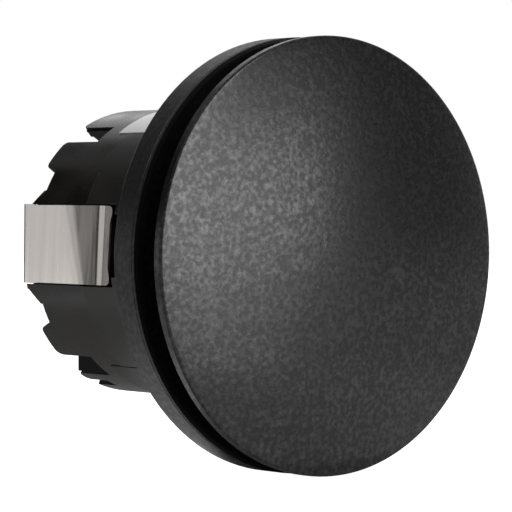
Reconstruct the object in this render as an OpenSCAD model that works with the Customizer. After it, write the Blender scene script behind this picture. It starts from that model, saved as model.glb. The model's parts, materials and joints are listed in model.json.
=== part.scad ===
// Recessed round wall step light for a 60 mm flush box.
// The wall's surface is the XZ plane. The light faces -Y, the housing goes
// into the wall towards +Y, and +Z is up. Sub-parts are drawn standing on
// the wall plane with their own z towards the room, then laid over once.

/* [Cap] */
// Diameter of the domed cap
cap_d = 85; // [78:1:92]
// Thickness of the cap's metal, seen at its edge
cap_t = 1.8; // [1.4:0.1:2.6]
// Height of the dome above its edge
cap_rise = 4; // [2.5:0.5:7]
// Bevel on the cap's front edge
cap_bevel = 0.4; // [0.2:0.1:0.8]
// Open gap between flange and cap, where the light leaves
light_gap = 5.7; // [4.5:0.1:9]
// Diameter of each boss that carries the cap
boss_d = 6.4; // [6:0.2:7.4]
// Circle on which the bosses stand
boss_ring_d = 26; // [24:1:28]
// Number of bosses and of screws in them
boss_n = 3; // [3:1:3]

/* [Flange] */
// Diameter of the flange that covers the hole in the wall
flange_d = 85; // [80:1:92]
// Height of the flange's rim in front of the wall
flange_h = 6.5; // [5.5:0.1:8]
// Thickness of the rim round the dish
rim_t = 1.5; // [1.2:0.1:2.2]
// Thickness of the dish's floor
dish_t = 2.2; // [2:0.1:2.8]
// Bevel on the rim's outer front edge
rim_bevel = 0.6; // [0.3:0.1:0.9]
// Lean of the rim's inner side, so that it leaves its mould
rim_draft = 0.4; // [0.2:0.1:0.6]
// Bore in the floor for the light board
dish_bore_d = 50.8; // [50:0.2:51.6]
// Recess in the flange's back that centres the heat sink
seat_h = 0.6; // [0.4:0.1:0.8]
// Width of that recess beyond the heat sink, to each side
seat_margin = 1.4; // [1:0.2:2.4]

/* [Heat sink] */
// Diameter of the body that goes into the wall box
body_d = 59.2; // [58.4:0.2:59.6]
// Thickness of the front plate that carries the light board
plate_t = 2.5; // [2:0.1:3.2]
// Outer diameter of the tube behind the plate
tube_d = 48; // [47:0.5:48.5]
// Wall of the tube
tube_t = 1.8; // [1.4:0.1:2.2]
// Depth of the bare metal shoulders, above and below
shoulder_depth = 32; // [31:0.5:33]
// Half of the angle that each clip carrier takes up
carrier_half = 52.5; // [50:0.5:54]
// Depth of the clip carriers
carrier_depth = 28.3; // [27:0.1:30]

/* [Rear housing] */
// Outer diameter of the moulded housing
sleeve_d = 58.8; // [58:0.2:59.2]
// Wall of the moulded housing
sleeve_t = 2.6; // [2.2:0.1:2.8]
// Depth of the housing's rear edge behind the wall's surface
body_depth = 47.4; // [46.8:0.2:50]
// Depth of the wiring chamber's floor
chamber_depth = 36.5; // [36:0.5:37.5]
// Thickness of that floor
floor_t = 2; // [1.6:0.2:2.4]
// Turn of the whole housing in its box, seen from the room
housing_turn = -2.6; // [-6:0.2:6]
// Depth of the shallow steps in the rear edge
step_depth = 43.5; // [42:0.5:44.5]
// Depth of the small gap in the rear edge
gap_depth = 40.9; // [39:0.1:42]
// Radius on the corners of the rear edge's teeth
tooth_r = 1.4; // [0.8:0.1:1.8]

/* [Spring clips] */
// Width of a spring clip
clip_w = 15.6; // [14:0.2:16.4]
// Thickness of its steel
clip_t = 0.5; // [0.4:0.05:0.6]
// Travel of a clip when it is pressed in
clip_stroke = 1.4; // [1:0.1:1.4]
// Distance from the axis to the flat under a clip
clip_flat = 27.5; // [27.2:0.1:27.6]
// Thickness of the wall that a clip hooks over
hook_wall = 2.1; // [1.9:0.1:2.3]
// Depth at which the hook's bend begins
hook_depth = 45.8; // [45:0.2:46]
// Length of the hook's inner leg
hook_leg = 5; // [3:0.5:6]
// Outward slope of the clip's long flat
clip_rise = 2; // [1.6:0.2:2.2]
// Length of that flat
clip_long = 14.7; // [14:0.1:15.2]
// Bend at the clip's crest, and its radius
crest_turn = 8; // [7:0.2:9]
crest_r = 25; // [20:1:28]
// Length of the flat in front of the crest
clip_short = 5.2; // [5:0.1:5.6]
// Bend at the clip's nose, and its radius
nose_turn = 33; // [28:1:34]
nose_r = 4; // [3:0.2:4.4]
// Length of the two ears beside the tongue, and the width of their tips
ear_long = 0.9; // [0.8:0.1:1.4]
ear_tip = 1.5; // [1.2:0.1:2]
// Depth of the hollow between the ears
ear_hollow = 0.8; // [0.5:0.1:0.9]
// Width of the tongue that reaches into the carrier
tongue_w = 11; // [9:0.5:12]
// Tongue's run before its bend, the bend's radius and turn, and its tip's length
tongue_form = [0.15, 0.8, 44, 1]; // [0.1:0.05:50]
// Radius on the ears' corners
ear_r = 0.8; // [0.5:0.1:1]
// Turn of the clips and their pockets beyond the housing's
clip_turn = -1.2; // [-2:0.2:2]
// Distance from the axis to the floor of the pocket under a clip's nose
pocket_floor = 25.4; // [25.2:0.1:25.8]
// Depths between which that pocket lies, and its window's front edge
pocket_span = [23.2, 18.4, 17]; // [16:0.2:26]
// Height of the window for the tongue
window_h = 12.4; // [12:0.2:13]

/* [Light source] */
// Diameter of the light board
board_d = 49.5; // [48:0.5:50]
// Thickness of the light board
board_t = 1.6; // [1:0.2:1.6]
// Thickness of the heat-conducting pad under it
pad_t = 0.3; // [0.2:0.1:0.5]
// Number of light-emitting diodes
led_n = 12; // [6:3:15]
// Circle on which they stand
led_ring_d = 39; // [38:0.5:40]
// Width, window's diameter and height of a diode
led_size = [2.8, 2.2, 0.8]; // [0.6:0.1:3.2]
// Diameter of the opal cover over them
cover_d = 62; // [61:0.5:64]
// Wall of the opal cover
cover_t = 1.5; // [1.2:0.1:1.8]
// Height of the opal cover above the dish's floor
cover_h = 3.6; // [3.4:0.1:4]
// Bevel on the opal cover's edge
cover_bevel = 0.8; // [0.4:0.1:1]

/* [Driver] */
// Gap between the driver board and the tube round it
driver_gap = 1.2; // [1:0.1:1.6]
// Depth of the driver board's front face
driver_depth = 9; // [8.5:0.1:10]
// Thickness of the insulating disc in front of it
film_t = 0.4; // [0.3:0.1:0.6]
// Transformer's core across, along and high, and the width of its legs
core_size = [13, 6, 13]; // [5:0.5:14]
core_leg = 3; // [2.5:0.1:3.2]
// Mains and output capacitor: diameter and height
mains_can = [8, 16]; // [6:0.5:18]
output_can = [6.3, 11]; // [5:0.1:13]
// Film capacitor across, along and high
film_box = [13, 5, 11]; // [4:0.5:14]
// Choke: diameter, height, flanges' height and waist's diameter
choke_size = [7.2, 8, 1.2, 6]; // [1:0.2:9]
// Fuse resistor: diameter at its ends and waist, and length
fuse_size = [3.4, 2.8, 9]; // [2.4:0.1:10]
// Rectifier and driver chip: across, along and high
rectifier_size = [4, 8, 2.6]; // [2:0.2:9]
chip_size = [5, 4, 1.5]; // [1:0.1:6]

/* [Mains terminals] */
// Size of the terminal block across, along and high
terminal_size = [17, 10, 9.4]; // [8:0.2:18]
// Distance between the two terminals
terminal_pitch = 8; // [7.6:0.1:8.4]
// Brass clamp across, along and high
clamp_size = [4.8, 8, 5]; // [4:0.1:9]
// Hole for a wire, and its height above the chamber's floor
wire_d = 3.4; // [3:0.1:3.6]
wire_z = 3.4; // [3.2:0.1:3.6]
// Clamping screw: shank, head and height of head
clamp_screw = [2.4, 3.8, 1.5]; // [1.2:0.1:4]
// Length of that screw's shank
clamp_shank = 2.4; // [2.2:0.1:2.6]

/* [Fits] */
// Gap between parts that slide into each other
slide_gap = 0.2; // [0.1:0.05:0.25]
// Gap round parts that only pass each other
clear_gap = 0.3; // [0.25:0.05:0.4]

/* [Hidden] */
$fn = 96;
eps = 0.01;
cap_back = flange_h + light_gap;
cap_front = cap_back + cap_t;
cap_sphere = (cap_d*cap_d/4 + cap_rise*cap_rise)/(2*cap_rise);
driver_d = tube_d - 2*tube_t - 2*driver_gap;
driver_r = driver_d/2;
plate_front = seat_h;
plate_back = plate_front - plate_t;
body_r = body_d/2;
tube_r = tube_d/2;
sleeve_r = sleeve_d/2;
sleeve_in = sleeve_r - sleeve_t;
floor_front = chamber_depth - floor_t;
shoulder_half = 90 - carrier_half;
hook_in = clip_flat - hook_wall;
hook_bend = (hook_wall + clear_gap + clip_stroke + slide_gap + clip_t)/2;
hook_start = hook_in - clear_gap - clip_t/2;
// Where the notches of one side of the rear edge lie, in degrees from its
// clip: start, end, and how far each flank leans by the inner wall
notch_up = [-58.1, -47.7, -1.9];
notch_down = [47.6, 60.1, -3.1];
gap_span = [66, 71.6];
step_span = [23, 33.4];
ramp_start = 17;
// Screws: shank, head and height of head, as common small screws have
m3 = [3, 5.6, 2];
m25 = [2.5, 4.5, 1.6];
flange_screw_r = 27.2;
flange_screw_n = 3;
// Length of a screw in what it holds, and the room beyond its tip
m3_grip = 6;
m25_grip = 4;
tip_room = 2;
post_d = 5;
post_r = driver_r - post_d/2 - 1;
post_turn = [0, 180];
// The housing's pillars are cast to the tube's inside
pillar_d = 6.4;
pillar_r = tube_r - tube_t + 0.4 - pillar_d/2;
pillar_turn = [90, 270];
// Where the driver's parts stand, from the board's middle or its edge
core_at = [-3, 4];
core_lift = 1.2;
mains_can_at = [driver_r - 10.5, driver_r - 11];
output_can_at = [8 - driver_r, 11.5 - driver_r];
film_box_at = [0, 8 - driver_r];
choke_at = [driver_r - 8.4, 12.6 - driver_r];
fuse_at = [4, -4.6];
rectifier_at = [8.2 - driver_r, 7.2];
chip_at = [9.4 - driver_r, -4];

// Lays a part that stands on the wall plane over, so that its z is -Y
module in_wall() { rotate([90, 0, 0]) children(); }

// Turns what belongs to the housing with it
module turned() { rotate([0, 0, housing_turn]) children(); }

// A disc or a ring between two heights
module ring(outer, inner, low, high) {
    translate([0, 0, low])
        difference() {
            cylinder(r = outer, h = high - low);
            if (inner > 0)
                translate([0, 0, -1])
                    cylinder(r = inner, h = high - low + 2);
        }
}

// A flat slice of a circle from one angle to another, up to 180 degrees wide
module slice(r, from, to) {
    polygon([[0, 0], for (i = [0:4]) 2*r*[cos(from + i*(to - from)/4), sin(from + i*(to - from)/4)]]);
}

// A part of a ring between two angles and two heights
module ring_part(outer, inner, from, to, low, high) {
    translate([0, 0, low])
        linear_extrude(high - low)
            intersection() {
                difference() {
                    circle(outer);
                    circle(inner);
                }
                slice(outer, from, to);
            }
}

module on_circle(n, r, first = 90) {
    for (i = [0:n - 1])
        rotate([0, 0, first + i*360/n])
            translate([r, 0, 0])
                children();
}

// A screw with its head's underside at z = 0 and its shank towards +z
module screw(size, length) {
    difference() {
        union() {
            cylinder(d = size[0], h = length);
            translate([0, 0, -size[2]])
                cylinder(d = size[1], h = size[2]);
        }
        translate([0, 0, -size[2] - 1])
            cylinder(d = size[1]*0.5, h = 1 + size[2]*0.6, $fn = 6);
    }
}

// The domed cap, cast with three bosses that stand on the heat sink's plate
module front_cap() {
    centre_z = cap_front + cap_rise - cap_sphere;
    color("#3a3a3a") {
        difference() {
            union() {
                rotate_extrude()
                    intersection() {
                        translate([0, centre_z])
                            difference() {
                                circle(cap_sphere, $fn = 360);
                                circle(cap_sphere - cap_t, $fn = 360);
                            }
                        polygon([[0, cap_back - 1], [cap_d/2, cap_back - 1],
                            [cap_d/2, cap_front - cap_bevel],
                            [cap_d/2 - cap_bevel, cap_front + cap_bevel/2],
                            [cap_d/2 - 2*cap_bevel, cap_front + cap_rise],
                            [0, cap_front + cap_rise + 1]]);
                    }
                on_circle(boss_n, boss_ring_d/2)
                    translate([0, 0, plate_front])
                        cylinder(d = boss_d, h = cap_back + cap_rise - plate_front);
            }
            on_circle(boss_n, boss_ring_d/2)
                translate([0, 0, plate_front - 1])
                    cylinder(d = m3[0] + 2*slide_gap, h = 1 + m3_grip + tip_room);
        }
    }
}

// Screws that hold the cap from behind the heat sink's plate
module cap_screws() {
    color("silver")
        on_circle(boss_n, boss_ring_d/2)
            translate([0, 0, plate_back])
                screw(m3, plate_t + m3_grip);
}

// The flange: a flat dish whose rim shades the light from the front
module trim_flange() {
    r = flange_d/2;
    color("#2b2b2b")
        difference() {
            rotate_extrude()
                polygon([[dish_bore_d/2, seat_h], [body_r + seat_margin, seat_h],
                    [body_r + seat_margin, 0], [r, 0],
                    [r, flange_h - rim_bevel], [r - rim_bevel, flange_h],
                    [r - rim_t, flange_h], [r - rim_t - rim_draft, dish_t],
                    [dish_bore_d/2, dish_t]]);
            on_circle(flange_screw_n, flange_screw_r, 30)
                cylinder(d = m25[0] + 2*slide_gap, h = dish_t + 1);
        }
}

// Screws that hold the flange to the heat sink, under the opal cover
module flange_screws() {
    color("silver")
        on_circle(flange_screw_n, flange_screw_r, 30)
            translate([0, 0, dish_t])
                mirror([0, 0, 1])
                    screw(m25, dish_t - plate_back - 0.6);
}

// The opal cover stands on the dish's floor and spreads the light
module opal_cover() {
    r = cover_d/2;
    color("whitesmoke")
        difference() {
            translate([0, 0, dish_t])
                rotate_extrude()
                    polygon([[0, cover_h - cover_t], [r - cover_t, cover_h - cover_t],
                        [r - cover_t, 0], [r, 0], [r, cover_h - cover_bevel],
                        [r - cover_bevel, cover_h], [0, cover_h]]);
            on_circle(boss_n, boss_ring_d/2)
                cylinder(d = boss_d + 2*clear_gap, h = dish_t + cover_h + 1);
        }
}

// Holes in the light board and its pad for the cap's bosses
module boss_holes() {
    on_circle(boss_n, boss_ring_d/2)
        translate([0, 0, -1])
            cylinder(d = boss_d + 2*clear_gap, h = dish_t + 4);
}

module heat_pad() {
    color("lightgray")
        difference() {
            ring(board_d/2 - 0.5, 0, plate_front, plate_front + pad_t);
            boss_holes();
        }
}

module light_board() {
    low = plate_front + pad_t;
    color("ghostwhite")
        difference() {
            ring(board_d/2, 0, low, low + board_t);
            boss_holes();
        }
}

// The diodes in a ring, each a square package with a round window
module light_diodes() {
    low = plate_front + pad_t + board_t;
    color("gold")
        on_circle(led_n, led_ring_d/2, 15)
            difference() {
                translate([-led_size[0]/2, -led_size[0]/2, low])
                    cube([led_size[0], led_size[0], led_size[2]]);
                translate([0, 0, low + led_size[2] - 0.2])
                    cylinder(d = led_size[1], h = 1);
            }
}

// The cast heat sink: front plate, driver tube, and two shoulders that stay
// bare between the clip carriers, with a spigot for the rear housing
module heat_sink() {
    color("#b9bbbd")
        difference() {
            union() {
                ring(body_r, 0, plate_back, plate_front);
                ring(tube_r, tube_r - tube_t, -floor_front, plate_back + eps);
                for (a = [90, 270]) {
                    ring_part(body_r, tube_r - eps, a - shoulder_half, a + shoulder_half,
                        -shoulder_depth, plate_back + eps);
                    ring_part(sleeve_in - slide_gap, tube_r - eps, a - shoulder_half,
                        a + shoulder_half, -floor_front, -shoulder_depth + eps);
                }
                for (a = pillar_turn)
                    rotate([0, 0, a])
                        translate([pillar_r, 0, -floor_front])
                            cylinder(d = pillar_d, h = floor_front + plate_back + eps);
                for (a = post_turn)
                    rotate([0, 0, a])
                        translate([post_r, 0, film_t - driver_depth])
                            cylinder(d = post_d, h = driver_depth - film_t + plate_back + eps);
            }
            rotate([0, 0, -housing_turn]) {
                on_circle(boss_n, boss_ring_d/2)
                    translate([0, 0, plate_back - 1])
                        cylinder(d = m3[0] + 2*slide_gap, h = plate_t + 2);
                on_circle(flange_screw_n, flange_screw_r, 30)
                    translate([0, 0, plate_back + 0.4])
                        cylinder(d = m25[0] + 2*slide_gap, h = plate_t + 1);
            }
            for (a = pillar_turn)
                rotate([0, 0, a])
                    translate([pillar_r, 0, -floor_front - 1])
                        cylinder(d = m3[0] + 2*slide_gap, h = 1 + m3_grip + floor_t + tip_room);
            for (a = post_turn)
                rotate([0, 0, a])
                    translate([post_r, 0, film_t - driver_depth - 1])
                        cylinder(d = m25[0] + 2*slide_gap, h = 1 + m25_grip + tip_room);
        }
}

// A moulded carrier that fills one side of the body, with the pocket for the
// clip's nose and the window that its tongue reaches into
module clip_carrier() {
    pocket_w = clip_w + 2*clear_gap;
    edge = asin(slide_gap/body_r);
    color("#3b3a3a")
        difference() {
            ring_part(body_r, tube_r + slide_gap, -carrier_half + edge, carrier_half - edge,
                -carrier_depth, plate_back);
            rotate([0, 0, clip_turn]) {
                translate([clip_flat, -pocket_w/2, -carrier_depth - 1])
                    cube([10, pocket_w, carrier_depth + 1 - pocket_span[0] + eps]);
                translate([pocket_floor, -pocket_w/2, -pocket_span[0]])
                    cube([10, pocket_w, pocket_span[0] - pocket_span[1]]);
                translate([tube_r - 2, -window_h/2, -pocket_span[0] + 1])
                    cube([10, window_h, pocket_span[0] - 1 - pocket_span[2]]);
            }
        }
}

module clip_carrier_left() { rotate([0, 0, 180]) clip_carrier(); }

module clip_carrier_right() { clip_carrier(); }

// Points along a bent strip at a distance to the left of its middle. Each step
// is a straight run, then a bend to the left with a radius and a turn
function edge_points(steps, off, p = [0, 0], a = 0, i = 0) =
    i == len(steps) ? [] :
    let (run = steps[i][0], r = steps[i][1], turn = steps[i][2], n = ceil(turn/7.5),
        q = p + run*[cos(a), sin(a)],
        c = q + r*[-sin(a), cos(a)])
    concat([q + off*[-sin(a), cos(a)]],
        [for (k = [1:1:n]) c + (r - off)*[sin(a + k*turn/n), -cos(a + k*turn/n)]],
        edge_points(steps, off, c + r*[sin(a + turn), -cos(a + turn)], a + turn, i + 1));

function reversed(list) = [for (i = [len(list) - 1:-1:0]) list[i]];

// A bent strip of sheet, seen from its edge
module strip(steps, t) {
    polygon(concat([[0, -t/2]], edge_points(steps, -t/2),
        reversed(edge_points(steps, t/2)), [[0, t/2]]));
}

// Moves on to the end of a strip's steps
module after(steps, i = 0) {
    if (i < len(steps))
        translate([steps[i][0], steps[i][1], 0])
            rotate([0, 0, steps[i][2]])
                translate([0, -steps[i][1], 0])
                    after(steps, i + 1)
                        children();
    else
        children();
}

// The spring clip: a hook over the housing's rear edge, a long flat that
// stands proud of the body, a crest, and a nose whose tongue is held in the
// carrier's window. The hook is wider than its wall by the clip's stroke
module spring_clip() {
    leaf = [[hook_leg, hook_bend, 180 - clip_rise], [clip_long, crest_r, crest_turn],
        [clip_short, nose_r, nose_turn]];
    ear = [[ear_long, 0, 0]];
    tongue = [[tongue_form[0], tongue_form[1], tongue_form[2]], [tongue_form[3], 0, 0]];
    color("#c4c2bf")
        rotate([0, 0, clip_turn])
            translate([hook_start, 0, -hook_depth + hook_leg])
                rotate([90, 90, 0]) {
                    difference() {
                        linear_extrude(clip_w, center = true)
                            strip(concat(leaf, ear), clip_t);
                        after(leaf)
                            nose_cut();
                    }
                    after(leaf)
                        translate([0.2, 0, 0])
                            linear_extrude(tongue_w, center = true)
                                strip(tongue, clip_t - 0.04);
                }
}

// Cuts the nose's flat end to two ears with rounded corners and a hollow
// between them
module nose_cut() {
    half = clip_w/2 - ear_tip;
    hollow_r = (half*half + ear_hollow*ear_hollow)/(2*ear_hollow);
    translate([ear_long - ear_hollow + hollow_r, 0, 0])
        rotate([90, 0, 0])
            cylinder(r = hollow_r, h = 2, center = true);
    for (s = [-1, 1])
        translate([ear_long - ear_r, 1, s*(clip_w/2 - ear_r)])
            rotate([90, 0, 0])
                linear_extrude(2)
                    difference() {
                        translate([0, s > 0 ? 0 : -ear_r - 1])
                            square(ear_r + 1);
                        circle(ear_r);
                    }
}

module spring_clip_left() { rotate([0, 0, 180]) spring_clip(); }

module spring_clip_right() { spring_clip(); }

// Cuts the rear edge from a depth on, between two angles, with flanks that
// lean by an angle where they meet the inner wall
module edge_cut(from, to, depth, lean = 0) {
    outer = sleeve_r + 2;
    inner = sleeve_in - 1;
    k = lean/sleeve_t;
    translate([0, 0, -body_depth - 3])
        linear_extrude(body_depth + 3 - depth)
            polygon([for (p = [[outer, from - 2*k], [outer, to - 2*k],
                [inner, to + (sleeve_t + 1)*k], [inner, from + (sleeve_t + 1)*k]])
                p[0]*[cos(p[1]), sin(p[1])]]);
}

// Rounds one corner of a tooth; side is 1 where the tooth lies at lower angles
module tooth_corner(a, side) {
    past = 0.06;
    rotate([0, 0, a])
        translate([sleeve_in - 3, side*past, -body_depth])
            rotate([0, 90, 0])
                linear_extrude(sleeve_t + 6)
                    polygon([[1, side*0.6], [1, -side*(tooth_r + 0.4)],
                        for (t = [10:20:90]) tooth_r*[cos(t) - 1, side*(sin(t) - 1)],
                        [-tooth_r, side*0.6]]);
}

// A shoulder that falls from the clip's slot to the shallow step
module shoulder_ramp(side) {
    reach = sleeve_r*sin(step_span[0]) + 0.4;
    start = sleeve_r*sin(ramp_start);
    translate([sleeve_in - 4, 0, 0])
        rotate([0, 90, 0])
            linear_extrude(sleeve_t + 8)
                polygon([[body_depth + 1, side*start], [body_depth - 0.4, side*start],
                    [step_depth + 0.2, side*reach], [body_depth + 1, side*reach]]);
}

// The moulded rear housing: a cup whose toothed edge stands round the wiring
// chamber and lets the cables in
module rear_housing() {
    pad_w = clip_w + 4;
    pad_front = carrier_depth + 1;
    slot_w = clip_w + 2*clear_gap;
    color("#262423")
        difference() {
            union() {
                ring(sleeve_r, sleeve_in, -body_depth, -carrier_depth);
                ring(sleeve_in + 0.5, 0, -chamber_depth, -floor_front);
                for (side = [0, 180])
                    rotate([0, 0, side + clip_turn])
                        intersection() {
                            translate([hook_in, -pad_w/2, -body_depth])
                                cube([6, pad_w, body_depth - pad_front]);
                            ring(sleeve_in + 0.5, 0, -body_depth, -carrier_depth);
                        }
            }
            for (a = [90, 270])
                ring_part(sleeve_r + 1, sleeve_in - 2, a - shoulder_half, a + shoulder_half,
                    -shoulder_depth, -carrier_depth + 1);
            for (side = [0, 180])
                rotate([0, 0, side]) {
                    edge_cut(notch_up[0], notch_up[1], chamber_depth, notch_up[2]);
                    edge_cut(notch_down[0], notch_down[1], chamber_depth, notch_down[2]);
                    edge_cut(gap_span[0], gap_span[1], gap_depth);
                    edge_cut(step_span[0], step_span[1], step_depth);
                    edge_cut(-step_span[1], -step_span[0], step_depth);
                    for (s = [-1, 1]) {
                        shoulder_ramp(s);
                        tooth_corner(s*step_span[1], -s);
                    }
                    tooth_corner(notch_up[1], -1);
                    tooth_corner(notch_up[0], 1);
                    tooth_corner(notch_down[0], 1);
                    tooth_corner(notch_down[1], -1);
                    tooth_corner(gap_span[0], 1);
                    rotate([0, 0, clip_turn]) {
                        translate([clip_flat, -slot_w/2, -body_depth - 1])
                            cube([10, slot_w, body_depth + 2]);
                        translate([sleeve_in - 6, -slot_w/2, -body_depth - 1])
                            cube([20, slot_w, body_depth + 1 - hook_depth - clear_gap]);
                    }
                }
            for (a = pillar_turn)
                rotate([0, 0, a])
                    translate([pillar_r, 0, -chamber_depth - 1])
                        cylinder(d = m3[0] + 2*slide_gap, h = floor_t + 2);
        }
}

module housing_screws() {
    color("silver")
        for (a = pillar_turn)
            rotate([0, 0, a])
                translate([pillar_r, 0, -chamber_depth])
                    screw(m3, floor_t + m3_grip);
}

// Outline of the driver board, clear of the pillars that pass it
module driver_outline(r) {
    difference() {
        circle(r);
        for (a = pillar_turn)
            rotate(a)
                translate([pillar_r, 0])
                    circle(d = pillar_d + 4*clear_gap);
    }
}

module insulating_disc() {
    color("ivory")
        translate([0, 0, -driver_depth])
            linear_extrude(film_t)
                difference() {
                    driver_outline(driver_r + driver_gap/2);
                    for (a = post_turn)
                        rotate(a)
                            translate([post_r, 0])
                                circle(d = m25[0] + 2*slide_gap);
                }
}

module driver_board() {
    color("darkgreen")
        translate([0, 0, -driver_depth - board_t])
            linear_extrude(board_t)
                difference() {
                    driver_outline(driver_r);
                    for (a = post_turn)
                        rotate(a)
                            translate([post_r, 0])
                                circle(d = m25[0] + 2*slide_gap);
                }
}

module driver_screws() {
    color("silver")
        for (a = post_turn)
            rotate([0, 0, a])
                translate([post_r, 0, -driver_depth - board_t])
                    screw(m25, board_t + film_t + m25_grip);
}

// Stands a driver part on the driver board, its own z into the housing
module on_driver(at) {
    translate([at[0], at[1], -driver_depth - board_t])
        mirror([0, 0, 1])
            children();
}

// The ferrite core: an outer frame round the leg that the winding sits on
module transformer_core() {
    window = core_size[0]/2 - 1.5*core_leg;
    color("dimgray")
        on_driver(core_at)
            difference() {
                translate([-core_size[0]/2, -core_size[1]/2, core_lift])
                    cube([core_size[0], core_size[1], core_size[2]]);
                for (s = [-1, 1])
                    translate([s*(core_leg/2 + window/2) - window/2, -core_size[1], core_lift + core_leg])
                        cube([window, 2*core_size[1], core_size[2] - 2*core_leg]);
            }
}

// The winding round that leg, with the two feet of its bobbin
module transformer_winding() {
    window = core_size[0]/2 - 1.5*core_leg;
    proud = 2.4;
    foot_t = 2;
    color("goldenrod")
        on_driver(core_at)
            difference() {
                union() {
                    translate([-core_leg/2 - window + clear_gap, -core_size[1]/2 - proud,
                            core_lift + core_leg + clear_gap])
                        cube([core_leg + 2*window - 2*clear_gap, core_size[1] + 2*proud,
                            core_size[2] - 2*core_leg - 2*clear_gap]);
                    for (s = [-1, 1])
                        translate([-core_size[0]/2, s*(core_size[1] + foot_t + 1)/2 - foot_t/2, 0])
                            cube([core_size[0], foot_t, core_lift + core_leg + 2*clear_gap]);
                }
                translate([-core_leg/2 - slide_gap/2, -core_size[1]/2 - slide_gap/2, 0])
                    cube([core_leg + slide_gap, core_size[1] + slide_gap, core_size[2] + 4]);
            }
}

// A can capacitor with its rolled groove near the board
module can_capacitor(size) {
    r = size[0]/2;
    h = size[1];
    groove = 0.4;
    rotate_extrude()
        polygon([[0, 0], [r, 0], [r, 1.4], [r - groove, 1.4 + groove], [r, 1.4 + 2*groove],
            [r, h - 0.5], [r - 0.5, h], [0, h]]);
}

module mains_capacitor() {
    color("#20242c")
        on_driver(mains_can_at)
            can_capacitor(mains_can);
}

module output_capacitor() {
    color("#20242c")
        on_driver(output_can_at)
            can_capacitor(output_can);
}

// A block that stands on the driver board, its middle at the given place
module block(size) {
    translate([-size[0]/2, -size[1]/2, 0])
        cube(size);
}

module film_capacitor() {
    color("gold")
        on_driver(film_box_at)
            block(film_box);
}

// A drum-wound choke between two flanges
module choke_coil() {
    r = choke_size[0]/2;
    h = choke_size[1];
    rim = choke_size[2];
    waist = choke_size[3]/2;
    color("#7a4a24")
        on_driver(choke_at)
            rotate_extrude()
                polygon([[0, 0], [r, 0], [r, rim], [waist, rim], [waist, h - rim], [r, h - rim],
                    [r, h], [0, h]]);
}

// A lacquered resistor that lies on the board, thicker over its two end caps
module fuse_resistor() {
    r = fuse_size[0]/2;
    waist = fuse_size[1]/2;
    l = fuse_size[2];
    color("#6d8f6a")
        on_driver(fuse_at)
            translate([-l/2, 0, r])
                rotate([0, 90, 0])
                    rotate_extrude()
                        polygon([[0, 0], [waist, 0], [r, 0.5], [r, 1.8], [waist, 2.2],
                            [waist, l - 2.2], [r, l - 1.8], [r, l - 0.5], [waist, l], [0, l]]);
}

module rectifier() {
    color("#1c1c1c")
        on_driver(rectifier_at)
            block(rectifier_size);
}

module driver_chip() {
    color("#1c1c1c")
        on_driver(chip_at)
            block(chip_size);
}

// The mains terminals stand on the wiring chamber's floor
module terminal_shape() {
    translate([0, 0, -chamber_depth])
        mirror([0, 0, 1])
            children();
}

// Places something at each of the two terminals, at the height of the wire
module at_terminals() {
    terminal_shape()
        for (s = [-1, 1])
            translate([s*terminal_pitch/2, 0, wire_z])
                children();
}

module terminal_block() {
    w = terminal_size[0];
    l = terminal_size[1];
    h = terminal_size[2];
    slot = 1;
    color("#e9e7df")
        difference() {
            terminal_shape()
                translate([-w/2, -l/2, 0])
                    cube([w, l, h]);
            at_terminals() {
                translate([-clamp_size[0]/2, -l, -clamp_size[2]/2])
                    cube([clamp_size[0], 2*l, clamp_size[2]]);
                cylinder(d = clamp_screw[1] + 2*slide_gap, h = h);
            }
            terminal_shape()
                for (s = [-1, 1])
                    translate([-slot/2, s*(l/2 + 0.5) - 1.5, 2.4])
                        cube([slot, 3, h]);
        }
}

// Brass clamps with a hole for the wire and one for the screw
module terminal_clamps() {
    color("#c7a64a")
        at_terminals()
            difference() {
                cube(clamp_size - [2*slide_gap, 0, 0], center = true);
                rotate([90, 0, 0])
                    cylinder(d = wire_d, h = clamp_size[1] + 2, center = true);
                cylinder(d = clamp_screw[0] + slide_gap, h = clamp_size[2]);
            }
}

// Slotted screws in the clamps' tops, drawn back so that a wire can go in
module terminal_screws() {
    tip = wire_d/2 + slide_gap;
    slot = 0.6;
    color("silver")
        at_terminals()
            translate([0, 0, tip])
                difference() {
                    union() {
                        cylinder(d = clamp_screw[0], h = clamp_shank + eps);
                        translate([0, 0, clamp_shank])
                            cylinder(d = clamp_screw[1], h = clamp_screw[2]);
                    }
                    translate([-clamp_screw[1], -slot/2, clamp_shank + clamp_screw[2] - slot])
                        cube([2*clamp_screw[1], slot, 1]);
                }
}

in_wall() front_cap();
in_wall() cap_screws();
in_wall() trim_flange();
in_wall() flange_screws();
in_wall() opal_cover();
in_wall() light_board();
in_wall() light_diodes();
in_wall() heat_pad();
in_wall() turned() heat_sink();
in_wall() turned() clip_carrier_left();
in_wall() turned() clip_carrier_right();
in_wall() turned() spring_clip_left();
in_wall() turned() spring_clip_right();
in_wall() turned() rear_housing();
in_wall() turned() housing_screws();
in_wall() turned() insulating_disc();
in_wall() turned() driver_board();
in_wall() turned() driver_screws();
in_wall() turned() transformer_core();
in_wall() turned() transformer_winding();
in_wall() turned() mains_capacitor();
in_wall() turned() output_capacitor();
in_wall() turned() film_capacitor();
in_wall() turned() choke_coil();
in_wall() turned() fuse_resistor();
in_wall() turned() rectifier();
in_wall() turned() driver_chip();
in_wall() turned() terminal_block();
in_wall() turned() terminal_clamps();
in_wall() turned() terminal_screws();
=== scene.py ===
# %% [markdown]
# # A recessed wall step light
#
# The light is a black disc that stands off a flange, with the body that goes into the wall
# behind it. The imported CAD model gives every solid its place. This script loads it, dresses
# the pieces that show with softer edges and real finishes, and lights them as a plain white
# studio does.

# %% Load the frame
import json
import math

import bmesh
import bpy
from mathutils import Matrix, Vector


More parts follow.
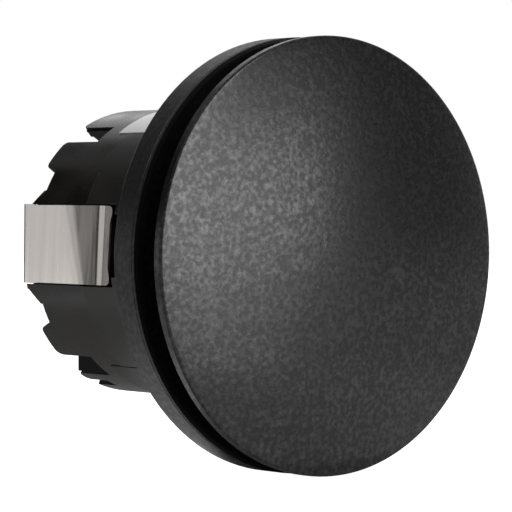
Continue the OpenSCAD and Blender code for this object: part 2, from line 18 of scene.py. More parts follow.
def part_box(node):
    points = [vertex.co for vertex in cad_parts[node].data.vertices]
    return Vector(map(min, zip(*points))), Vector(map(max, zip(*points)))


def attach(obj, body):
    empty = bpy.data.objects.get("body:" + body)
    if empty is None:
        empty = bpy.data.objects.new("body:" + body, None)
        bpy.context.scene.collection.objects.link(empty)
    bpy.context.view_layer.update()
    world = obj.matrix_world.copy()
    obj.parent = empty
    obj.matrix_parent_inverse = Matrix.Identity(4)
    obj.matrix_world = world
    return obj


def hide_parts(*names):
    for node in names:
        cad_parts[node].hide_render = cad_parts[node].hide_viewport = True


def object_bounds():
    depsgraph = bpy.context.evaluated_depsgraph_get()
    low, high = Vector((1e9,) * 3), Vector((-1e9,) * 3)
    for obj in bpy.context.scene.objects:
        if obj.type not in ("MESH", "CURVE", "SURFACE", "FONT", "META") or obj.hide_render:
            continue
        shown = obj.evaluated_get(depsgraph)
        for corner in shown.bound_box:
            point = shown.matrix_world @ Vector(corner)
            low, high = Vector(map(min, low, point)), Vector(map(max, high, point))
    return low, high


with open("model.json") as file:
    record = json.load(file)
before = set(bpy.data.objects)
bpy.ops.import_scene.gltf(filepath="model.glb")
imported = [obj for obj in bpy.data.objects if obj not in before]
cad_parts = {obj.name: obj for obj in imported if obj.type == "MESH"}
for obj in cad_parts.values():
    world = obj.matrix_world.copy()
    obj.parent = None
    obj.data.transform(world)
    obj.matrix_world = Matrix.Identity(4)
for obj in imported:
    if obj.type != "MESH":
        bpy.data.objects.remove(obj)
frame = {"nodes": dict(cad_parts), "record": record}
cad_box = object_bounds()
nodes = frame["nodes"]
MM = 0.001

# %% [markdown]
# ## Camera
#
# The photograph is taken from the front left and a little above, with a long lens. The
# camera looks at a point near the middle of the light, so its place is a direction and a
# distance from there. A short lens close by would swell the cap and shrink the body behind
# it.

# %% Camera
AZIMUTH = -40.2
ELEVATION = 1.38
DISTANCE = 538*MM
AIM = Vector((-4.535, 3.826, -0.183))*MM
LENS = 192.4


def direction(azimuth, elevation):
    """A unit vector that is turned from -Y towards +X and then upwards, in degrees."""
    a, e = math.radians(azimuth), math.radians(elevation)
    return Vector((math.sin(a)*math.cos(e), -math.cos(a)*math.cos(e), math.sin(e)))


camera = bpy.data.objects.new("camera", bpy.data.cameras.new("camera"))
camera.data.lens = LENS
camera.data.clip_start = 0.01
camera.data.clip_end = 20
camera.location = AIM + direction(AZIMUTH, ELEVATION)*DISTANCE
camera.rotation_euler = direction(AZIMUTH, ELEVATION).to_track_quat("Z", "Y").to_euler()
bpy.context.collection.objects.link(camera)
bpy.context.scene.camera = camera
print("camera at", [round(v/MM) for v in camera.location], "mm")

# %% [markdown]
# ## Helpers for materials
#
# Colours are written as sRGB hex values, as a colour picker gives them, and turned linear
# once. One helper adds a node and sets its sockets: a value that is another node's output is
# linked, and anything else is set. The other helpers make what every finish here has: a
# pattern of noise, two colours that follow it, and the shader itself. An image texture could
# do the same, but noise has no seams and no resolution.

# %% Material helpers
# Noise stays between these two values almost everywhere
NOISE_LOW, NOISE_HIGH = 0.3, 0.7
# A Mix node has sockets of one name for each kind of data, so those for colour go by number
MIX_SHARE, MIX_FIRST, MIX_SECOND, MIX_RESULT = 0, 6, 7, 2


def linear(hex_colour):
    """An sRGB hex colour as linear RGBA."""
    channels = [int(hex_colour[i:i + 2], 16)/255 for i in (1, 3, 5)]
    return [c/12.92 if c <= 0.04045 else ((c + 0.055)/1.055)**2.4 for c in channels] + [1.0]


def add_node(tree, kind, sockets=None, **settings):
    """Adds a node of a kind, with its settings, and sets or links its inputs."""
    node = tree.nodes.new("ShaderNode" + kind)
    for name, value in settings.items():
        setattr(node, name, value)
    for name, value in (sockets or {}).items():
        if isinstance(value, bpy.types.NodeSocket):
            tree.links.new(value, node.inputs[name])
        else:
            node.inputs[name].default_value = value
    return node


def new_material(name):
    """A material without nodes, and its tree."""
    material = bpy.data.materials.new(name)
    material.use_nodes = True
    material.node_tree.nodes.clear()
    return material, material.node_tree


def speckle(tree, size_mm, stretch=(1, 1, 1), detail=2.0):
    """Noise whose grains are about size_mm across, on the object's own coordinates."""
    place = add_node(tree, "TexCoord")
    scaled = add_node(tree, "Mapping", {"Vector": place.outputs["Object"],
                                        "Scale": [s/(size_mm*MM) for s in stretch]})
    noise = add_node(tree, "TexNoise", {"Vector": scaled.outputs["Vector"], "Scale": 1.0,
                                        "Detail": detail, "Roughness": 0.6})
    return noise.outputs["Fac"]


def two_tone(tree, pattern, first, second, start=0.32, end=0.68):
    """Two colours: the first up to the pattern's start, the second from its end on."""
    share = add_node(tree, "MapRange", {"Value": pattern, "From Min": start, "From Max": end})
    first, second = (linear(c) if isinstance(c, str) else c for c in (first, second))
    mix = add_node(tree, "Mix", {MIX_SHARE: share.outputs["Result"], MIX_FIRST: first,
                                 MIX_SECOND: second}, data_type="RGBA")
    return mix.outputs[MIX_RESULT]


def shade(tree, colour, gloss, roughness, hills, height_mm, **sockets):
    """Adds the shader. The pattern gloss runs through two roughnesses, and hills are a bump."""
    rough = add_node(tree, "MapRange", {"Value": gloss, "From Min": NOISE_LOW,
                                        "From Max": NOISE_HIGH, "To Min": roughness[0],
                                        "To Max": roughness[1]})
    bump = add_node(tree, "Bump", {"Height": hills, "Distance": height_mm*MM, "Strength": 1.0})
    shader = add_node(tree, "BsdfPrincipled", {
        "Base Color": colour, "Roughness": rough.outputs["Result"],
        "Normal": bump.outputs["Normal"],
        **{name.replace("_", " "): value for name, value in sockets.items()}})
    add_node(tree, "OutputMaterial", {"Surface": shader.outputs["BSDF"]})


print("a mid grey is linear", round(linear("#808080")[0], 3))

# %% [markdown]
# ## Powder coat
#
# Cap and flange are die castings under a fine textured powder coat. The powder melts to tiny
# hills, so the black scatters a soft grey sheen with bright and dark grains. Real grains are
# about 0.3 mm; they are drawn near one millimetre, because finer ones don't show. The grain
# tints the reflection as well as the colour, since a bump alone is lost in the distance. The
# front lip of the flange lies in the shade of the cap, and that shade is painted: its colour
# and its reflection are drawn darker there. An attribute of the piece says where that is.

# %% Powder coat
COAT_IOR = 1.6
GRAIN_MM = 1.0
SPECKS_START, SPECKS_END = 0.42, 0.74
# Painted shade that the cap casts on the flange's front lip, in colour and reflection alike
PAINTED_LIP_SHADE = "#101010"
# How far the roughness goes up and down with a pattern
ROUGH_BY = 0.05


def powder_coat(name, dark, light, dull, roughness, height_mm):
    """A black coat, dark with light specks, whose reflection is dull between the specks."""
    material, tree = new_material(name)
    grain = speckle(tree, GRAIN_MM, detail=1.5)
    # Painted shade: where the attribute "lip" is set, colour and reflection turn one dark grey
    lip = add_node(tree, "Attribute", attribute_name="lip").outputs["Fac"]
    base, sheen = (
        two_tone(tree, lip, two_tone(tree, grain, *pair, SPECKS_START, SPECKS_END),
                 PAINTED_LIP_SHADE, 0, 1)
        for pair in ((dark, light), (dull, "#ffffff")))
    shade(tree, base, grain, (roughness + ROUGH_BY, roughness - ROUGH_BY), grain, height_mm,
          IOR=COAT_IOR, Specular_Tint=sheen)
    return material


# The cap's coat gives the eye a broad silky sheen that breaks up into specks
cap_coat = powder_coat("textured_powder_coat_cap", "#111111", "#2a2a2a", "#cccccc", 0.25, 0.025)
# The flange's coat is rougher and darker, so its rim is an even grey
flange_coat = powder_coat("textured_powder_coat_flange", "#101010", "#1e1e1e", "#d4d4d4", 0.4,
                          0.015)
print("coats:", cap_coat.name, flange_coat.name)

# %% [markdown]
# ## Moulded plastics
#
# Carriers and rear housing are injection moulded in black. The carriers have a fine satin
# grain from an eroded mould, and the housing a smoother and glossier one. Where the melt
# flowed, colour and gloss change a little over a centimetre or so. The sides of the
# housing's notches come from eroded inserts and are matt. They also carry painted shade, a
# darker colour and a dimmer reflection for the shade inside the notches. An attribute of
# the piece says where they are, so that one material serves the whole piece.

# %% Moulded plastics
PLASTIC_IOR = 1.53
FLOW_MM = 9
SATIN_MM = 0.3
SATIN_HEIGHT_MM = 0.004
# Painted shade on the notches' sides: a darker colour and a dimmer reflection
CUT_PAINTED_SHADE, CUT_PAINTED_DIM_REFLECTION = "#0a0a0a", "#707070"


def moulded(name, dark, light, roughness, height_mm=SATIN_HEIGHT_MM):
    """A plastic or a lacquer: a nearly even colour, a soft gloss and a very fine grain."""
    material, tree = new_material(name)
    grain = speckle(tree, SATIN_MM)
    flow = speckle(tree, FLOW_MM, detail=1)
    shade(tree, two_tone(tree, flow, dark, light), flow,
          (roughness - ROUGH_BY, roughness + ROUGH_BY), grain, height_mm, IOR=PLASTIC_IOR)
    return material


def notched(name, dark, light, roughness, matt_roughness):
    """A glossy moulding whose faces with the attribute "cut" are matt and get painted shade."""
    material, tree = new_material(name)
    grain = speckle(tree, SATIN_MM)
    flow = speckle(tree, FLOW_MM, detail=1)
    cut = add_node(tree, "Attribute", attribute_name="cut").outputs["Fac"]
    # Painted shade: faces with "cut" get a darker colour here and a dimmer reflection below
    colour = two_tone(tree, cut, two_tone(tree, flow, dark, light), CUT_PAINTED_SHADE, 0, 1)
    ends = [add_node(tree, "MapRange", {"Value": cut, "To Min": end, "To Max": matt_roughness})
            for end in (roughness - ROUGH_BY, roughness + ROUGH_BY)]
    shade(tree, colour, flow, [end.outputs["Result"] for end in ends], grain, SATIN_HEIGHT_MM,
          IOR=PLASTIC_IOR, Specular_Tint=two_tone(tree, cut, "#ffffff", CUT_PAINTED_DIM_REFLECTION, 0, 1))
    return material


# Satin: a soft, wide reflection along the body
carrier_plastic = moulded("moulded_polycarbonate_satin", "#181513", "#201c1a", 0.36)
# Gloss: deeper black, with clearer edges of light and shade
housing_plastic = notched("moulded_polycarbonate_gloss", "#120e0c", "#1a1512", 0.26, 0.62)
print("plastics:", carrier_plastic.name, housing_plastic.name)

# %% [markdown]
# ## Bare metals
#
# The heat sink is turned aluminium: the tool leaves rings round the body, so the noise is
# fine along the body's axis and long round it. Its upper shoulder is drawn bare and bright,
# and the lower one black: painted light above and painted shade below. The change lies at
# the middle of the body, where the carriers hide it. The clips are punched from cold-rolled
# spring strip, which is bright and smooth, with soft bands across it where the bending tool
# has set it. All of them keep the shader's default IOR, because a metal's colour is its
# reflection.

# %% Bare metals
RING_MM = 0.3
RING_HEIGHT_MM = 0.004
ROUND_THE_BODY = (0.02, 1, 0.02)
SHOULDER_ROUGHNESS = (0.28, 0.4)
# The painted light turns into the painted shade over this distance, above and below the middle
LIGHT_TO_SHADE_MM = 1.5
LINES_ROUGH_BY = 0.06


def worked_metal(name, dark, light, roughness, line_mm, stretch, height_mm):
    """A metal whose tool marks are line_mm apart, and longer where stretch is small."""
    material, tree = new_material(name)
    lines = speckle(tree, line_mm, stretch, detail=3)
    shade(tree, two_tone(tree, lines, dark, light), lines,
          (roughness - LINES_ROUGH_BY, roughness + LINES_ROUGH_BY), lines, height_mm,
          Metallic=1.0)
    return material


def lit_above_shaded_below(name, bare, black):
    """Turned aluminium, bare above the middle and black below: painted light and shade."""
    material, tree = new_material(name)
    place = add_node(tree, "TexCoord").outputs["Object"]
    height = add_node(tree, "SeparateXYZ", {"Vector": place}).outputs["Z"]
    # Painted light and shade by height: bright bare metal above the middle, black below it
    painted_light_share = add_node(tree, "MapRange", {"Value": height, "From Min": -LIGHT_TO_SHADE_MM*MM,
                                        "From Max": LIGHT_TO_SHADE_MM*MM}).outputs["Result"]
    rings = speckle(tree, RING_MM, ROUND_THE_BODY, detail=3)
    coat, metal = (two_tone(tree, rings, *pair) for pair in (black, bare))
    shade(tree, two_tone(tree, painted_light_share, coat, metal, 0, 1), rings, SHOULDER_ROUGHNESS, rings,
          RING_HEIGHT_MM, Metallic=painted_light_share)
    return material


# Painted light: the bare top mirrors the white room in long streaks; painted shade: black below
turned_aluminium = lit_above_shaded_below("turned_aluminium_lit_above_shaded_below", ("#e0e0e0", "#efefee"),
                               ("#0f0f0f", "#181818"))
# A warm, clear mirror with a few soft bands
spring_strip = worked_metal("cold_rolled_spring_steel", "#e0dad5", "#efe9e4", 0.18, 2.2,
                            (0.3, 1, 0.05), 0.003)
# A cool, slightly clouded grey
zinc_plate = worked_metal("zinc_plated_steel", "#b4b8bc", "#ced1d4", 0.3, 0.5, (1, 1, 1), 0.003)
# Yellow, with lines along the drawn bar
clamp_brass = worked_metal("drawn_brass", "#b9924a", "#d2ad66", 0.3, 0.5, (1, 0.1, 1), 0.003)
print("metals:", turned_aluminium.name, spring_strip.name, zinc_plate.name, clamp_brass.name)

# %% [markdown]
# ## What lies inside
#
# The parts in the body hardly show, but the gap between cap and flange shows the opal
# cover, and the wiring chamber shows the terminals. Each gets the plain finish that such
# parts have. The dictionary goes by the record's material slots, so that a CAD node and the
# piece that stands for it take the same finish.

# %% Finishes inside
finishes = {
    "cap_coat": cap_coat,
    "flange_coat": flange_coat,
    "bare_casting": turned_aluminium,
    "carrier_plastic": carrier_plastic,
    "housing_plastic": housing_plastic,
    "spring_steel": spring_strip,
    "zinc_steel": zinc_plate,
    "clamp_brass": clamp_brass,
    # Dull dark grey, pressed from powder
    "ferrite": moulded("sintered_ferrite", "#2b2b2d", "#37373a", 0.6, 0.01),
    # Milky and soft, so that no diode shows through
    "opal_plastic": moulded("opal_acrylic", "#e4e3de", "#efeeea", 0.4),
    # A white lacquer that throws the light back
    "white_laminate": moulded("white_solder_resist", "#e2e4e4", "#eef0f0", 0.35),
    # Yellow and waxy
    "diode_gel": moulded("phosphor_gel", "#d9a93a", "#ecc860", 0.3),
    # Matt and rubbery
    "pad_silicone": moulded("silicone_pad", "#9a9ca0", "#a8abae", 0.7),
    # The pale cream of pressed board
    "insulating_film": moulded("insulating_film", "#d9d2bd", "#e6e0cd", 0.45),
    # A dark green lacquer with a gloss
    "driver_laminate": moulded("green_solder_resist", "#124a2a", "#1a5c36", 0.3),
    # Amber and shiny
    "winding_tape": moulded("polyester_tape", "#b98d22", "#d2a83a", 0.3),
    # A smooth, nearly black skin
    "capacitor_sleeve": moulded("shrunk_sleeve", "#15181f", "#1f232c", 0.3),
    # An ochre box with a soft gloss
    "film_box": moulded("moulded_film_box", "#bd8a1c", "#cf9c2c", 0.35),
    # Copper red under a varnish, in fine turns
    "enamelled_wire": worked_metal("enamelled_copper", "#8a4620", "#b5683a", 0.35, 0.3,
                                   (1, 0.1, 1), 0.02),
    # The grey green of a fired cement
    "resistor_lacquer": moulded("resistor_lacquer", "#54785a", "#658a69", 0.35),
    # Black and flat
    "chip_resin": moulded("moulding_compound", "#141414", "#1c1c1c", 0.5),
    # A pale, slightly waxy grey
    "terminal_plastic": moulded("polyamide", "#d6d3c8", "#e2dfd5", 0.45),
}
slot_of = {part["node"]: part["material_slot"] for part in frame["record"]["subparts"]}
for name, node in nodes.items():
    node.data.materials.clear()
    node.data.materials.append(finishes[slot_of[name]])
print("finishes:", len(finishes))

# %% [markdown]
# ## Softened copies
#
# A CAD solid has knife edges, and a real casting or moulding has none: every edge catches a
# thin line of light. The pieces that show are copied, their triangles are joined to clean
# faces, and their edges are bevelled by a tenth or two of a millimetre. A Bevel modifier
# could do it too, but the operator tells which faces it made. Smooth shading stops where a
# bevel ends, so the large faces stay flat beside the small round ones. Faces that lie on a
# cylinder round the body's axis get that cylinder's own normals, because long facets would
# show as streaks in a gloss.

# %% Shading
OUT_OF_ROUND = 0.01*MM
NEARLY_ALONG = 0.99


def true_round(data):
    """Gives the faces that lie on a cylinder round the body's axis the cylinder's normals."""
    normals = [Vector(corner.vector) for corner in data.corner_normals]
    for face in data.polygons:
        points = [data.vertices[v].co for v in face.vertices]
        spokes = [Vector((point.x, 0, point.z)) for point in points]
        radii = [spoke.length for spoke in spokes]
        outward = Vector((face.center.x, 0, face.center.z)).normalized().dot(face.normal)
        if max(radii) - min(radii) > OUT_OF_ROUND or abs(outward) < NEARLY_ALONG:
            continue
        for corner, spoke in zip(face.loop_indices, spokes):
            normals[corner] = spoke.normalized()*(1 if outward > 0 else -1)
    data.normals_split_custom_set(normals)


# %% Pieces
JOINED_WITHIN = 0.002*MM
FLAT_TO = math.radians(0.6)
# Edges sharper than this are rounded, in degrees
SHARP = 28


def as_piece(mesh, piece_name, node_name, body, turned=True):
    """Makes a bmesh a smooth shaded piece that stands for a CAD node and rides on a body."""
    for face in mesh.faces:
        face.smooth = True
    data = bpy.data.meshes.new(piece_name)
    mesh.to_mesh(data)
    mesh.free()
    if turned:
        true_round(data)
    data.materials.append(finishes[slot_of[node_name]])
    piece = bpy.data.objects.new(piece_name, data)
    bpy.context.collection.objects.link(piece)
    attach(piece, body)
    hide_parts(node_name)
    print(piece_name, "has", len(data.polygons), "faces")


def merged_copy(node_name):
    """A CAD node as a bmesh whose triangles are joined to clean faces."""
    mesh = bmesh.new()
    mesh.from_mesh(nodes[node_name].data)
    bmesh.ops.remove_doubles(mesh, verts=mesh.verts, dist=JOINED_WITHIN)
    bmesh.ops.dissolve_limit(mesh, angle_limit=FLAT_TO, verts=mesh.verts, edges=mesh.edges)
    return mesh


def sharp_edges(mesh, angle):
    """The edges whose two faces meet at more than an angle, in degrees."""
    return [edge for edge in mesh.edges
            if len(edge.link_faces) == 2 and edge.calc_face_angle(0) > math.radians(angle)]


def round_edges(mesh, width_mm):
    """Bevels the sharp edges, and ends the smoothing where a bevel ends."""
    made = bmesh.ops.bevel(mesh, geom=sharp_edges(mesh, SHARP), offset=width_mm*MM,
                           offset_type="OFFSET", segments=2, profile=0.5, affect="EDGES",
                           clamp_overlap=True, material=-1)
    rounded = set(made["faces"])
    for edge in mesh.edges:
        sides = [face in rounded for face in edge.link_faces]
        edge.smooth = len(sides) == 2 and sides[0] == sides[1]


def end_smoothing(mesh, angle):
    """Ends the smoothing at every edge whose faces meet at more than an angle, in degrees."""
    for edge in sharp_edges(mesh, angle):
        edge.smooth = False


def cut_across(mesh, depth):
    """Cuts a mesh across the body's axis, so that it has points there."""
    bmesh.ops.bisect_plane(mesh, geom=mesh.verts[:] + mesh.edges[:] + mesh.faces[:],
                           plane_co=(0, depth, 0), plane_no=(0, 1, 0), dist=0.001*MM)


# %% [markdown]
# ## Floor and light
#
# The photograph is a product shot on plain white. Floor and world are white only where the
# camera looks straight at them, and throw hardly any light. So the black surfaces show soft
# boxes and little else: bright ones at the front right give the cap its broad sheen, some at
# the rear light the clip and the body, and cards on the floor lift the undersides. A white
# dome all round would be simpler, but it would turn the glossy black grey. Each strength was
# matched to the tones of the photograph.

# %% Floor
FLOOR_HALF = 4.0
FLOOR_GAP = 0.2*MM
CLOUD_MM = 40
lowest = cad_box[0].z
floor_mesh = bmesh.new()
bmesh.ops.create_grid(floor_mesh, x_segments=1, y_segments=1, size=FLOOR_HALF)
bmesh.ops.translate(floor_mesh, verts=floor_mesh.verts, vec=(0, 0, lowest - FLOOR_GAP))
floor_data = bpy.data.meshes.new("floor")
floor_mesh.to_mesh(floor_data)
floor_mesh.free()
floor = bpy.data.objects.new("floor", floor_data)
bpy.context.collection.objects.link(floor)
# White matt paper, faintly cloudy, which fades into the background without a line
floor_material, floor_tree = new_material("white_paper")
white = two_tone(floor_tree, speckle(floor_tree, CLOUD_MM), "#d8d8d8", "#dedede")
seen = add_node(floor_tree, "LightPath").outputs["Is Camera Ray"]
paper = add_node(floor_tree, "BsdfPrincipled", {
    "Base Color": white, "Roughness": 0.9, "Emission Color": linear("#ffffff"),
    "Emission Strength": seen})
add_node(floor_tree, "OutputMaterial", {"Surface": paper.outputs["BSDF"]})
floor.data.materials.append(floor_material)
print("floor at", round(lowest/MM, 1), "mm")

# %% World
ROOM_LIGHT = 0.01
world = bpy.data.worlds.new("tent")
bpy.context.scene.world = world
world.use_nodes = True
tree = world.node_tree
tree.nodes.clear()
straight = add_node(tree, "LightPath").outputs["Is Camera Ray"]
strength = add_node(tree, "MapRange", {"Value": straight, "To Min": ROOM_LIGHT, "To Max": 1.0})
tent = add_node(tree, "Background", {"Color": linear("#ffffff"),
                                     "Strength": strength.outputs["Result"]})
add_node(tree, "OutputWorld", {"Surface": tent.outputs["Background"]})
print("room light:", ROOM_LIGHT)


# %% Lamps
def area_lamp(name, wide, tall, radiance, place, turn):
    """A lamp that the camera doesn't see. It sends out pi times its area and radiance."""
    lamp = bpy.data.lights.new(name, "AREA")
    lamp.shape = "RECTANGLE"
    lamp.size, lamp.size_y = wide, tall
    lamp.energy = math.pi*wide*tall*radiance
    holder = bpy.data.objects.new(name, lamp)
    holder.location = place
    holder.rotation_euler = turn
    holder.visible_camera = False
    bpy.context.collection.objects.link(holder)


def soft_box(name, azimuth, elevation, wide, tall, radiance, distance=1.5):
    """A soft box that faces the light. Its place and its size are angles in degrees."""
    place = direction(azimuth, elevation)*distance
    wide, tall = (2*distance*math.tan(math.radians(angle/2)) for angle in (wide, tall))
    area_lamp(name, wide, tall, radiance, place, place.to_track_quat("Z", "Y").to_euler())


def floor_card(name, left, right, front, rear, radiance):
    """A glowing card that lies on the floor between four sides, in mm, and faces up."""
    place = ((left + right)/2*MM, (front + rear)/2*MM, lowest)
    area_lamp(name, (right - left)*MM, (rear - front)*MM, radiance, place, (math.pi, 0, 0))


# Name, azimuth, elevation, width and height in degrees, radiance, distance in m
SOFT_BOXES = (
    ("key", 15, 5, 15, 12, 5.2),
    ("key_right", 30, 5, 15, 12, 4.0),
    ("key_left", 0, 5, 15, 12, 1.8),
    ("front", 7.5, 18, 30, 14, 5.2),
    ("front_right", 33, 14, 16, 10, 1.0),
    ("front_high", 0, 34, 45, 18, 4.2),
    ("left", -96, 8, 48, 18, 0.5),
    ("rear_left", -151, 4, 33, 12, 0.58),
    ("high_rear", -150, 50, 40, 30, 0.17),
    ("rear_mid", 182, 14, 18, 16, 0.95),
    ("rear_mid_high", 182, 38, 16, 22, 0.1),
    ("rear", 160, 14, 24, 16, 1.1),
    ("rear_high", 155, 34, 24, 22, 0.72),
    ("rear_right", 142.5, 12, 30, 25, 0.73),
    ("right", 82.5, 12, 30, 25, 0.6),
    ("camera_side", -50, 8, 36, 30, 0.2),
    ("overhead", 0, 89.9, 60, 60, 0.4),
    ("left_high", -95, 50, 40, 36, 0.4),
    ("right_high", 92, 44, 44, 36, 0.5),
    ("rear_far", 122, 12, 14, 30, 0.5),
    ("card_left", 0, -3.3, 12, 6, 1.0, 0.35),
    ("card", 12, -3.3, 12, 6, 2.9, 0.35),
    ("card_right", 24, -3.3, 12, 6, 1.6, 0.35),
    ("card_rear", -150, -3.3, 34, 6, 0.4, 0.35))
# Name, left, right, front and rear side in mm, radiance
FLOOR_CARDS = (
    ("floor_far", 0, 140, -330, -200, 1.6),
    ("floor_near", 0, 60, -200, -110, 1.7),
    ("floor_front", -100, 100, -120, -20, 0.24),
    ("floor_flange", -20, 20, 6, 24, 1.2),
    ("floor_left", -60, -20, 6, 24, 0.7),
    ("floor_rear", -60, 20, 24, 50, 0.45),
    ("floor_rear_left", -120, -60, 20, 120, 0.27))
for values in SOFT_BOXES:
    soft_box(*values)
for values in FLOOR_CARDS:
    floor_card(*values)
bpy.context.scene.view_settings.view_transform = "Standard"
print("lamps:", len(SOFT_BOXES) + len(FLOOR_CARDS))

# %% [markdown]
# ## The domed cap
#
# The cap is a shallow dome that is cast about 2 mm thick. Its large smooth face shows every
# ripple in a mesh, so it is spun from a profile instead of copied: an arc for the face, a
# small round at the edge, the edge's band, and the same arc again for the back. The bosses
# that carry the cap are cylinders under it, made as cones with two equal ends.

# %% Cap
CAP_R = 42.5*MM
CAP_T = 1.8*MM
CAP_RISE = 4*MM
CAP_ROUND = 0.55*MM
# The dome's slope at its edge, in degrees, where the round begins
DOME_SLOPE = 10
FACE_RINGS, ROUND_RINGS, BACK_RINGS, SPIN_STEPS = 24, 4, 6, 160
BOSSES = 3
BOSS_R = 3.2*MM
BOSS_RING_R = 13*MM
PLATE_FRONT = -0.6*MM
cap_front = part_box("front_cap")[0].y
dome_r = (CAP_R**2 + CAP_RISE**2)/(2*CAP_RISE)


def dome_points(radius, reach, count):
    """Points from the axis outwards on an arc whose centre is the dome's."""
    turns = [math.asin(reach/radius)*i/count for i in range(count + 1)]
    centre = cap_front + dome_r
    return [Vector((radius*math.sin(t), centre - radius*math.cos(t), 0)) for t in turns]


def spun(outline, steps):
    """Spins an outline in the XY plane round the Y axis to a closed body."""
    mesh = bmesh.new()
    verts = [mesh.verts.new(point) for point in outline]
    edges = [mesh.edges.new(pair) for pair in zip(verts, verts[1:])]
    bmesh.ops.spin(mesh, geom=verts + edges, cent=(0, 0, 0), axis=(0, 1, 0), dvec=(0, 0, 0),
                   angle=math.tau, steps=steps, use_merge=True, use_duplicate=False)
    bmesh.ops.remove_doubles(mesh, verts=mesh.verts, dist=0.001*MM)
    bmesh.ops.recalc_face_normals(mesh, faces=mesh.faces)
    return mesh


front_arc = dome_points(dome_r, CAP_R - CAP_ROUND, FACE_RINGS)
back_arc = dome_points(dome_r - CAP_T, CAP_R, BACK_RINGS)
slope = math.radians(DOME_SLOPE)
edge_round = []
for i in range(1, ROUND_RINGS + 1):
    turn = math.radians(DOME_SLOPE + (90 - DOME_SLOPE)*i/ROUND_RINGS)
    fall = CAP_ROUND*(math.cos(slope) - math.cos(turn))
    edge_round.append(Vector((CAP_R - CAP_ROUND + CAP_ROUND*math.sin(turn),
                              front_arc[-1].y + fall, 0)))
cap_mesh = spun(front_arc + edge_round + back_arc[::-1], SPIN_STEPS)
boss_length = PLATE_FRONT - back_arc[0].y
for i in range(BOSSES):
    turn = math.radians(90 + 360*i/BOSSES)
    place = Matrix.Translation((BOSS_RING_R*math.cos(turn), PLATE_FRONT - boss_length/2,
                                BOSS_RING_R*math.sin(turn)))
    bmesh.ops.create_cone(cap_mesh, cap_ends=True, segments=32, radius1=BOSS_R, radius2=BOSS_R,
                          depth=boss_length, matrix=place @ Matrix.Rotation(math.pi/2, 4, "X"))
end_smoothing(cap_mesh, angle=35)
as_piece(cap_mesh, "cap_dome", "front_cap", "root")

# %% [markdown]
# ## The trim flange
#
# Behind the cap the flange's rim is a plain ring with a bevelled front edge. A fine groove
# runs behind the bevel, where the rim was turned. The copy is cut round at three depths, and
# the middle cut is drawn in: that follows the rim all round, where a groove cut out with a
# Boolean would leave slivers. The front lip is marked for the painted shade of the cap.

# %% Flange
FLANGE_R = 42.5*MM
GROOVE_AT = -5.35*MM
GROOVE_HALF = 0.16*MM
GROOVE_IN = 0.22*MM
LIP_AT = -5.95*MM
flange_mesh = merged_copy("trim_flange")
round_edges(flange_mesh, width_mm=0.12)
for depth in (GROOVE_AT - GROOVE_HALF, GROOVE_AT, GROOVE_AT + GROOVE_HALF):
    cut_across(flange_mesh, depth)
drawn_in = 0
for v in flange_mesh.verts:
    on_cut = abs(v.co.y - GROOVE_AT) < 0.01*MM
    on_rim = math.hypot(v.co.x, v.co.z) > FLANGE_R - 0.1*MM
    if on_cut and on_rim:
        v.co.x *= 1 - GROOVE_IN/FLANGE_R
        v.co.z *= 1 - GROOVE_IN/FLANGE_R
        drawn_in += 1
flange_mesh.normal_update()
# Painted shade: the lip's forward faces are marked for the cap's shade, painted in the coat
lip = flange_mesh.faces.layers.float.new("lip")
for face in flange_mesh.faces:
    at_front = face.calc_center_median().y < LIP_AT
    looks_forward = face.normal.y < -0.1
    face[lip] = 1.0 if at_front and looks_forward else 0.0
end_smoothing(flange_mesh, angle=25)
as_piece(flange_mesh, "flange_rim", "trim_flange", "root")
print("points in the groove:", drawn_in)

# %% [markdown]
# ## The body behind the flange
#
# Heat sink, carriers and housing keep the CAD's shapes. The moulded parts have softer corners
# than the cast one. Inside the housing a rib stands at the far side of each cable notch, as
# mouldings have where a wall is cut, and closes the view through the body. A rib is a cube
# that is stretched to a plate. The sides of the notches are marked for the matt finish and
# the painted shade: they face neither outwards nor along the axis.

# %% Body
ROUNDINGS_MM = {"clip_carrier_left": 0.2, "clip_carrier_right": 0.2, "heat_sink": 0.15}
for node_name, width_mm in ROUNDINGS_MM.items():
    copy = merged_copy(node_name)
    round_edges(copy, width_mm)
    as_piece(copy, node_name + "_soft", node_name, "root")

# %% Housing with its ribs
RIB_T = 1.0*MM
RIB_FRONT, RIB_REAR = 31.5*MM, 46.6*MM
# Each rib's two ends across the body, as X and Z in mm
RIBS = (((-15.8, -24.4), (-15.8, -18.0)), ((-13.9, 25.3), (-9.15, 22.4)))


def rib(mesh, start, end):
    """Adds a plate that runs between two points of the XZ plane along the body's axis."""
    a, b = (Vector((x, 0, z))*MM for x, z in (start, end))
    middle = (a + b)/2 + Vector((0, (RIB_FRONT + RIB_REAR)/2, 0))
    turn = Matrix.Rotation(math.atan2(a.z - b.z, b.x - a.x), 4, "Y")
    size = Matrix.Diagonal(((b - a).length, RIB_REAR - RIB_FRONT, RIB_T, 1))
    bmesh.ops.create_cube(mesh, size=1, matrix=Matrix.Translation(middle) @ turn @ size)


def mark_cuts(mesh):
    """Sets the attribute "cut" on the faces that face neither outwards nor along the axis."""
    cut = mesh.faces.layers.float.new("cut")
    for face in mesh.faces:
        middle = face.calc_center_median()
        outward = abs(Vector((middle.x, 0, middle.z)).normalized().dot(face.normal))
        along = abs(face.normal.y)
        face[cut] = 1.0 if outward < 0.9 and along < 0.5 else 0.0


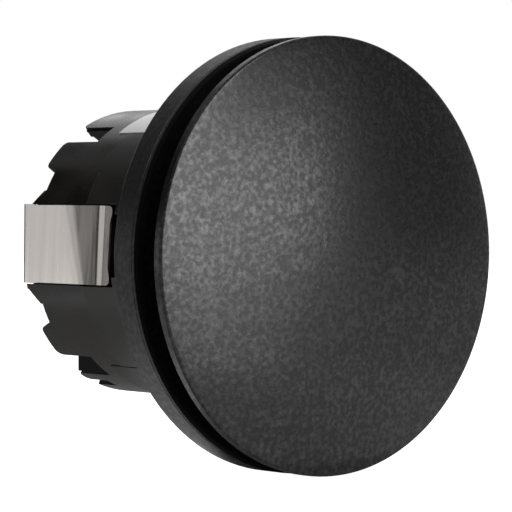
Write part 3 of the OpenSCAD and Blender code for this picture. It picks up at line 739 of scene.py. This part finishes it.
housing_mesh = merged_copy("rear_housing")
for start, end in RIBS:
    rib(housing_mesh, start, end)
    # The same rib again, half a turn round the axis
    rib(housing_mesh, (-start[0], -start[1]), (-end[0], -end[1]))
round_edges(housing_mesh, width_mm=0.08)
housing_mesh.normal_update()
mark_cuts(housing_mesh)
as_piece(housing_mesh, "rear_housing_soft", "rear_housing", "root")

# %% [markdown]
# ## The spring clips
#
# A clip is bent by hand over its hook and sits a little askew: its crest runs at a slant
# across the strip, and its rear bend stands nearly square. In front of its bend the nose is
# pushed together, and the hook's end is a little wider and further back. The copy is cut
# across at even steps, so that it has points to move, and each point slides along the strip
# by a share of its height. The share grows to the crest, and falls again to the hook. A
# lattice would bend it as well, but this way each distance is a number.

# %% Clips
# Where the strip has its nose, its crest and its hook, behind the wall's plane
NOSE_END = 21*MM
CREST_AT = 31*MM
HOOK_AT = 46*MM
# How far a point slides back, as a share of its height
CREST_SLANT = 0.42
HOOK_SLANT = 0.075
HOOK_BACK = 0.35*MM
# From here on the hook's end spreads
HOOK_END = 43*MM
HOOK_SPREAD = 1.022
# In front of this bend the nose keeps three quarters of its length
NOSE_BEND = 22.5*MM
NOSE_SHORTER = 0.75
CUT_STEP = 1*MM


def eased(value, start, end):
    """A share that grows smoothly from 0 at the start to 1 at the end."""
    share = min(1, max(0, (value - start)/(end - start)))
    return share*share*(3 - 2*share)


def bent_by_hand(point):
    """Moves a point of the clip along the strip to where the hand-bent strip has it."""
    depth = point.y
    if depth > HOOK_END:
        point.z *= HOOK_SPREAD
    slant = (CREST_SLANT*eased(depth, NOSE_END, CREST_AT)
             + (HOOK_SLANT - CREST_SLANT)*eased(depth, CREST_AT, HOOK_AT))
    point.y += slant*point.z + HOOK_BACK*eased(depth, CREST_AT, HOOK_AT)
    if depth < NOSE_BEND:
        point.y += (1 - NOSE_SHORTER)*(NOSE_BEND - depth)


for side in ("left", "right"):
    node_name = "spring_clip_" + side
    mesh = merged_copy(node_name)
    round_edges(mesh, width_mm=0.14)
    for i in range(1, int((HOOK_AT - NOSE_END)/CUT_STEP)):
        cut_across(mesh, NOSE_END + i*CUT_STEP)
    for v in mesh.verts:
        bent_by_hand(v.co)
    as_piece(mesh, node_name + "_strip", node_name, "clip_" + side, turned=False)
